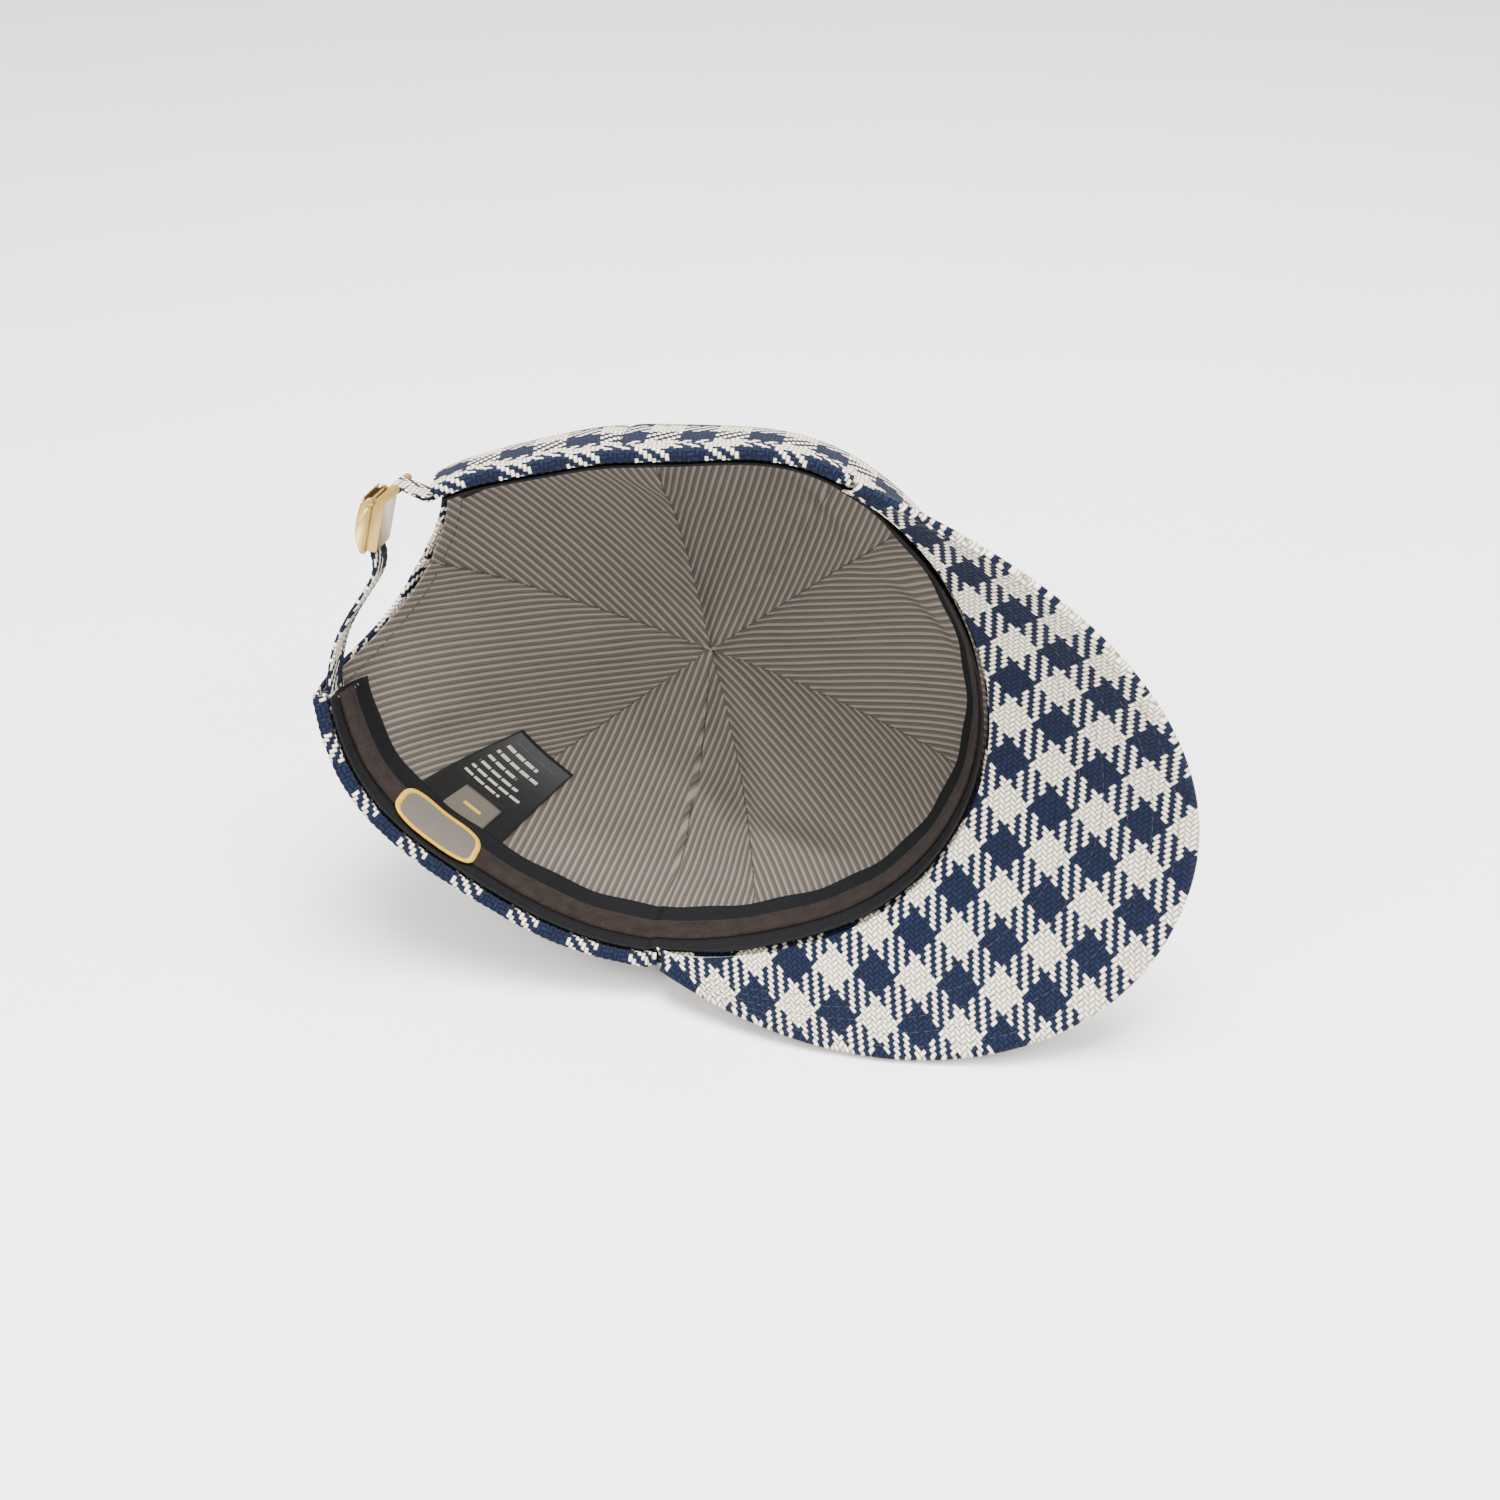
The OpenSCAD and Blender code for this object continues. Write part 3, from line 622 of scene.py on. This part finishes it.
# ---- Patch ----
# A plain rounded patch of taupe satin on the sweatband, edged all round with gold thread.
satin, shader, put, calc, mix, noise, cloth_uv, bump = finish_named("taupe_satin", 0.55)
shader.inputs["Sheen Weight"].default_value = 0.2
place, across, along = cloth_uv()
ribs = calc("FRACT", calc("DIVIDE", calc("ADD", across, calc("MULTIPLY", along, 0.5)), 0.00035))
ribs = calc("SUBTRACT", 1.0, calc("ABSOLUTE", calc("SUBTRACT", calc("MULTIPLY", ribs, 2.0), 1.0)))
put(mix(calc("MULTIPLY", ribs, noise(1200.0, 2.0, place)), (0.055, 0.045, 0.033, 1), (0.16, 0.135, 0.105, 1)),
    shader.inputs["Base Color"])
bump(ribs, 0.00012, 0.8)
gold, shader, put, calc, mix, noise, cloth_uv, bump = finish_named("gold_thread", 0.4)
shader.inputs["Specular IOR Level"].default_value = 0.6
place, across, along = cloth_uv()
thread = calc("FRACT", calc("DIVIDE", across, 0.00038))
thread = calc("SUBTRACT", 1.0, calc("ABSOLUTE", calc("SUBTRACT", calc("MULTIPLY", thread, 2.0), 1.0)))
put(mix(calc("MULTIPLY", thread, calc("ADD", 0.5, noise(900.0, 2.0, place))), (0.42, 0.20, 0.004, 1),
        (0.98, 0.62, 0.015, 1)), shader.inputs["Base Color"])
bump(thread, 0.00025, 0.9)


def patch_place(a, b):
    """a and b run from -1 to 1 across the patch; its corners are rounded off."""
    return 121.5 + 8.5 * a * (1 - 0.16 * b ** 4), 14.5 + 11.5 * b * (1 - 0.22 * a ** 4)


a, b = np.meshgrid(np.linspace(-1, 1, 40), np.linspace(-1, 1, 40))
phi, h = patch_place(a, b)
points = band_points(phi, h, 1.6 + 0.25 * (1 - a ** 2) * (1 - b ** 2))
weave = np.stack([a * 13, h], -1) / 1000
patch = cloth("maker_patch_plain", laid(points, tape_depth(0 * h) + 1.6), weave, 0.0006, satin, "cap",
              ["maker_patch"])
turns = np.linspace(0, 2 * math.pi, 241)
square = np.maximum(abs(np.cos(turns)), abs(np.sin(turns)))
ring_a, ring_b = np.cos(turns) / square, np.sin(turns) / square
phi, h = patch_place(0.97 * ring_a, 0.97 * ring_b)
line = band_points(phi, h, 1.75)
ahead = unit(np.roll(line[:-1], -1, 0) - np.roll(line[:-1], 1, 0))
ahead = np.concatenate([ahead, ahead[:1]])
inward = unit(-crown_normal(phi, psi_of(h)))
beside = np.cross(ahead, inward)
bead = np.linspace(0, 2 * math.pi, 13)
rope_side = 1.1 * np.cos(bead)[:, None, None] * beside[None]
rope_rise = 0.55 * (np.sin(bead) + 0.35)[:, None, None] * inward[None]
rope = line[None] + rope_side + rope_rise
far = np.concatenate([[0], np.cumsum(np.linalg.norm(np.diff(line, axis=0), axis=1))])
far2, bead2 = np.meshgrid(far, bead)
cloth("maker_patch_border", laid(rope, 4.0), np.stack([far2, bead2], -1) / 1000, 0, gold, "cap", (),
      closed=True)

# ---- Care label and size tag ----
# A black satin label, sewn in above the sweatband so that it can be lifted, and a small taupe tag
# over its foot. The label's print is only plain pale dashes, and the tag has one gold bar.
label_black, shader, put, calc, mix, noise, cloth_uv, bump = finish_named("label_satin", 0.45)
place, across, along = cloth_uv()
line_at = calc("DIVIDE", along, 0.0030)
line_no = calc("FLOOR", line_at)
in_line = calc("FRACT", line_at)
ink = calc("LESS_THAN", calc("ABSOLUTE", calc("SUBTRACT", in_line, 0.5)), 0.17)
dash_at = calc("ADD", calc("DIVIDE", across, 0.0046), calc("MULTIPLY", line_no, 0.37))
dash = calc("GREATER_THAN", calc("FRACT", dash_at), 0.16)
left = calc("GREATER_THAN", across, -0.0113)
reach = calc("MULTIPLY", calc("FRACT", calc("MULTIPLY", line_no, 0.618)), 0.0098)
right = calc("LESS_THAN", across, calc("ADD", 0.0014, reach))
clear = calc("MULTIPLY", calc("GREATER_THAN", along, 0.0290), calc("LESS_THAN", along, 0.0490))
printed_part = calc("MULTIPLY", calc("MULTIPLY", left, right), clear)
printed = calc("MULTIPLY", calc("MULTIPLY", ink, dash), printed_part)
weave = noise(2600.0, 2.0, place)
put(mix(calc("MULTIPLY", printed, calc("ADD", 0.55, calc("MULTIPLY", weave, 0.5))),
        mix(weave, (0.002, 0.002, 0.0022, 1), (0.012, 0.012, 0.013, 1)), (0.55, 0.52, 0.46, 1)),
    shader.inputs["Base Color"])
bump(weave, 0.00010, 0.6)
a, b = np.meshgrid(np.linspace(-1, 1, 30), np.linspace(0, 1, 60))
phi, h = 120 + 9.5 * a, 35 + 51 * b
points = in_crown(phi, h, 2.5 + 0.5 * b * (1 - a ** 2))
weave = np.stack([-a * 14.5, b * 52.0], -1) / 1000
label = cloth("care_label_black", laid(points, 2.5), weave, 0.00028, label_black, "labels", ["care_label"])
tag_cloth, shader, put, calc, mix, noise, cloth_uv, bump = finish_named("taupe_tag", 0.6)
place, across, along = cloth_uv()
bar = calc("MULTIPLY", calc("LESS_THAN", calc("ABSOLUTE", across), 0.0030),
           calc("LESS_THAN", calc("ABSOLUTE", calc("SUBTRACT", along, 0.0185)), 0.0008))
weave = noise(2200.0, 2.0, place)
put(mix(bar, mix(weave, (0.075, 0.062, 0.048, 1), (0.14, 0.12, 0.095, 1)), (0.60, 0.38, 0.05, 1)),
    shader.inputs["Base Color"])
bump(weave, 0.00012, 0.7)
a, b = np.meshgrid(np.linspace(-1, 1, 20), np.linspace(0, 1, 24))
phi, h = 119.5 + 4.5 * a, 35 + 26 * b
points = in_crown(phi, h, 3.3 + 0.5 * b * (1 - a ** 2))
weave = np.stack([-a * 6.9, b * 26], -1) / 1000
tag = cloth("size_tag_taupe", laid(points, 3.3), weave, 0.00028, tag_cloth, "labels", ["size_tag"])

# ---- Strap and tab ----
# The strap is a folded length of the gingham sewn in at the left corner of the arch, threaded
# through the clasp. A short doubled tab at the right corner holds the clasp's bar.
clasp_at, clasp_turn, strap_z, strap_w, strap_t = (-103.0, -16.5), math.radians(80.6), 15.0, 20.0, 1.8


def clasp_xy(u, n):
    return [clasp_at[0] - u * math.cos(clasp_turn) - n * math.sin(clasp_turn),
            clasp_at[1] - u * math.sin(clasp_turn) + n * math.cos(clasp_turn)]


def corner_xy(y, d):
    return list(in_crown(180 - math.degrees(math.asin(y / rim_b)), 0, d)[:2])


def ribbon(name, path, width, low, thick, turn_over, node, count=220):
    """A folded band of cloth: a rounded flat loop that follows a path round the back of the cap."""
    centre, far = along_curve(path, count)
    ahead = unit(np.gradient(centre, axis=0))
    side = np.stack([ahead[:, 1], -ahead[:, 0]], -1)
    turns = np.linspace(0, 2 * math.pi, 49)
    flat_c, flat_s = signed_power(np.cos(turns), 0.30), signed_power(np.sin(turns), 0.75)
    loop_step = np.hypot(np.diff(flat_c) * width / 2, np.diff(flat_s) * thick / 2)
    loop_far = np.concatenate([[0], np.cumsum(loop_step)])
    ripple = 0.14 * np.sin(far[None] * 2 * math.pi / 2.6 + turns[:, None] * 3)
    out_s = flat_s[:, None] * thick / 2 * (1 + 0.5 * ripple)
    xy = centre[None] + out_s[..., None] * side[None]
    z = low + width / 2 + flat_c[:, None] * (width / 2 - 0.15 + ripple)
    points = np.concatenate([xy, np.broadcast_to(z, xy.shape[:2])[..., None]], -1)
    far2, loop2 = np.meshgrid(far, loop_far)
    weave = np.stack([far2 + turn_over, loop2], -1) / 1000
    cloth(name, laid(points), weave, 0, gingham, "cap", [node], closed=True)


strap_path = [corner_xy(43, 3), corner_xy(39, 3), corner_xy(35, 2.9), [-101.8, 28.5], [-102.3, 22],
              [-101.2, 14], [-99.2, 6], [-97.8, -1], [-99, -5.6], clasp_xy(-7.6, -0.3),
              clasp_xy(-3, -0.3), clasp_xy(2, -0.3), clasp_xy(6, -0.3)]
ribbon("back_strap", strap_path, strap_w, strap_z - strap_w / 2, strap_t, 3.0, "strap")
bar_u, bar_n = 12.4, -4.8
bar_xy = np.array(clasp_xy(bar_u, bar_n))


def right_corner(y, d):
    return list(in_crown(math.degrees(math.asin(y / rim_b)) - 180, 0, d)[:2])


tab_out = [right_corner(y, 2.45) for y in (43, 38, 34.5, 32)]
tab_in = [right_corner(y, 3.35) for y in (32, 34.5, 38, 43)]
round_bar = [list(bar_xy + 1.42 * np.array([-math.cos(a), math.sin(a)]))
             for a in np.radians(np.arange(-20, 201, 22))]
ribbon("strap_tab_loop", tab_out + round_bar + tab_in, 19.0, strap_z - strap_w / 2, 0.8, 8.0, "strap_tab")

# ---- Clasp ----
# A brushed, lightly polished brass slide: a flat frame with two ears and a bar, a pin, and a
# curved cover that swings on the pin. Its edges are rounded over.
brass, shader, put, calc, mix, noise, cloth_uv, bump = finish_named("satin_brass", 0.3)
shader.inputs["Metallic"].default_value = 1.0
brushed = noise(900.0, 4.0)
worn = noise(120.0, 3.0)
put(mix(worn, (0.36, 0.22, 0.055, 1), (0.62, 0.42, 0.14, 1)), shader.inputs["Base Color"])
put(calc("ADD", 0.22, calc("MULTIPLY", brushed, 0.22)), shader.inputs["Roughness"])
bump(brushed, 0.00003, 0.5)
steel, shader, put, calc, mix, noise, cloth_uv, bump = finish_named("nickel_steel", 0.35)
shader.inputs["Metallic"].default_value = 1.0
put(mix(noise(300.0, 3.0), (0.45, 0.45, 0.46, 1), (0.62, 0.62, 0.63, 1)), shader.inputs["Base Color"])


def rounded_copy(node, name, round_by, finish, body):
    """A merged copy of a hard part with its edges rounded over."""
    piece = bpy.data.objects[node].copy()
    piece.data = bpy.data.objects[node].data.copy()
    piece.name = piece.data.name = name
    bpy.context.collection.objects.link(piece)
    bpy.context.view_layer.objects.active = piece
    piece.select_set(True)
    bpy.ops.object.mode_set(mode="EDIT")
    bpy.ops.mesh.select_all(action="SELECT")
    bpy.ops.mesh.remove_doubles(threshold=2e-5)
    bpy.ops.mesh.dissolve_limited(angle_limit=math.radians(1.5))
    bpy.ops.object.mode_set(mode="OBJECT")
    rounding = piece.modifiers.new("rounding", "BEVEL")
    rounding.width = round_by
    rounding.segments = 3
    rounding.limit_method = "ANGLE"
    rounding.angle_limit = math.radians(35)
    bpy.ops.object.modifier_apply(modifier=rounding.name)
    bpy.ops.object.shade_smooth_by_angle(angle=math.radians(40))
    piece.data.materials.clear()
    piece.data.materials.append(finish)
    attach(piece, body)
    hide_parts(node)
    piece.select_set(False)


for node, round_by, body in (("clasp_frame", 0.00020, "cap"), ("clasp_pin", 0.00015, "cap"),
                             ("clasp_lever", 0.00030, "lever")):
    rounded_copy(node, node + "_brass", round_by, brass, body)

# ---- Button ----
# A steel shell covered in a puckered disc of the gingham, clinched through the top of the crown.
button_r = 8.0
ring, spoke = np.meshgrid(np.linspace(0, 2 * math.pi, 97), np.linspace(0.02, 1.0, 26))
pucker = 0.18 * np.sin(14 * ring) * spoke ** 4
rise = 5.0 * np.sqrt(np.clip(1 - (spoke * 0.985) ** 2, 0, 1))
button = np.stack([slump_fwd + (button_r * spoke + pucker) * np.cos(ring),
                   slump_side + (button_r * spoke + pucker) * np.sin(ring), crown_h + 0.5 + rise], -1)
weave = np.stack([button_r * spoke * np.cos(ring), button_r * spoke * np.sin(ring)], -1) / 1000
cloth("button_cloth", laid(button)[::-1], weave[::-1], 0.0008, gingham, "cap", ["button_cover"],
      closed=True)
for node in ("button_shell", "button_prong"):
    bpy.data.objects[node].data.materials.clear()
    bpy.data.objects[node].data.materials.append(steel)
board, shader, put, calc, mix, noise, cloth_uv, bump = finish_named("peak_board", 0.6)
put(mix(noise(400.0), (0.55, 0.54, 0.50, 1), (0.66, 0.65, 0.61, 1)), shader.inputs["Base Color"])
bpy.data.objects["peak_board"].data.materials.clear()
bpy.data.objects["peak_board"].data.materials.append(board)

# ---- Stitching ----
# Dark thread on the lining's seams, the arch and the peak, and grey thread on the sweatband.
dark_thread, shader, put, calc, mix, noise, cloth_uv, bump = finish_named("dark_thread", 0.7)
put(mix(noise(3000.0), (0.006, 0.006, 0.007, 1), (0.030, 0.028, 0.030, 1)), shader.inputs["Base Color"])
grey_thread, shader, put, calc, mix, noise, cloth_uv, bump = finish_named("grey_thread", 0.6)
put(mix(noise(3000.0), (0.16, 0.16, 0.18, 1), (0.42, 0.42, 0.45, 1)), shader.inputs["Base Color"])
bpy.ops.mesh.primitive_uv_sphere_add(segments=6, ring_count=4, radius=1)
seed = bpy.context.object
seed_points = np.array([v.co[:] for v in seed.data.vertices])
seed_faces = [list(p.vertices) for p in seed.data.polygons]
bpy.data.objects.remove(seed)


def stitches(name, rows, thread, body, radius, long, skip):
    """Rows of single stitches: each row is a line of points in the cap's axes, with the way out."""
    points, faces = [], []
    for line, out in rows:
        far = np.concatenate([[0], np.cumsum(np.linalg.norm(np.diff(line, axis=0), axis=1))])
        starts = np.arange(0.4, far[-1] - long, long + skip)
        at = np.stack([np.interp(starts + long / 2, far, c) for c in line.T], -1)
        to = unit(np.stack([np.interp(starts + long, far, c) - np.interp(starts, far, c)
                            for c in line.T], -1))
        up = unit(np.stack([np.interp(starts + long / 2, far, c) for c in out.T], -1))
        beside = unit(np.cross(to, up))
        up = np.cross(beside, to)
        for k in range(len(starts)):
            p = (seed_points[:, :1] * radius * beside[k] + seed_points[:, 1:2] * radius * up[k]
                 + seed_points[:, 2:] * long / 2 * to[k]) + at[k]
            faces += [[i + len(seed_points) * len(points) for i in f] for f in seed_faces]
            points.append(p)
    mesh = bpy.data.meshes.new(name)
    mesh.from_pydata([tuple(p) for p in laid(np.concatenate(points))], [], faces)
    mesh.materials.append(thread)
    piece = bpy.data.objects.new(name, mesh)
    bpy.context.collection.objects.link(piece)
    bpy.context.view_layer.objects.active = piece
    piece.select_set(True)
    bpy.ops.object.mode_set(mode="EDIT")
    bpy.ops.mesh.select_all(action="SELECT")
    bpy.ops.mesh.normals_make_consistent(inside=False)
    bpy.ops.object.mode_set(mode="OBJECT")
    bpy.ops.object.shade_smooth()
    piece.select_set(False)
    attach(piece, body)


def on_lining(phi, psi):
    normal = crown_normal(phi, psi)
    return crown(phi, psi) - (1.78 + lining_wrinkle(phi, psi) + 0.7)[..., None] * normal, -normal


seam_rows = []
for seam in (0.0, seam_1, seam_2, 179.9, -seam_1, -seam_2):
    psi = np.linspace(psi_of(np.array(arch_h + 4 if abs(seam) > 179 else 20.0)), 88.5, 160)
    seam_rows.append(on_lining(seam + 0 * psi, psi))
stitches("lining_seam_stitches", seam_rows, dark_thread, "cap",
         radius=0.17, long=1.3, skip=0.9)
arch_rows = []
for side in (1, -1):
    turn = np.linspace(6, 89.5, 120)
    phi, high = arch_line(turn, 5.0)
    phi, psi = side * phi, psi_of(high)
    normal = crown_normal(phi, psi)
    arch_rows.append((crown(phi, psi) - (1.85 + lining_wrinkle(phi, psi))[:, None] * normal, -normal))
stitches("arch_topstitching", arch_rows, dark_thread, "cap",
         radius=0.2, long=1.9, skip=0.9)
tape_rows = []
for h in (9.9, 21.1):
    phi = np.linspace(-phi_band + 1.2, phi_band - 1.2, 500)
    tape_rows.append((band_points(phi, h, 1.15), -crown_normal(phi, psi_of(h))))
stitches("sweatband_stitches", tape_rows, grey_thread, "cap",
         radius=0.14, long=1.7, skip=1.1)
tack_rows = []
for side in (1, -1):
    for k in range(9):
        h = 7.5 + 2.1 * k
        phi = side * np.linspace(phi_band - 0.4, phi_band - 1.5 - 0.5 * (k % 2), 6)
        tack_rows.append((band_points(phi, h + np.linspace(0, 1.6, 6), 1.0),
                          -crown_normal(phi, psi_of(h + 0 * phi))))
stitches("sweatband_end_tacks", tack_rows, grey_thread, "cap",
         radius=0.15, long=1.5, skip=0.4)
peak_rows = []
for inset in (5.5, 13.0, 20.5, 28.0, 35.5):
    t = np.linspace(-0.93, 0.93, 400)
    reach = 1 - inset / 64.0
    points, _ = peak_point(t, np.full_like(t, reach), np.zeros_like(t), np.full_like(t, peak_thick + 0.06))
    peak_rows.append((points, -peak_normal(points[:, 0], points[:, 1])))
stitches("peak_stitch_rows", peak_rows, dark_thread, "cap",
         radius=0.13, long=2.4, skip=0.8)

bpy.context.view_layer.update()
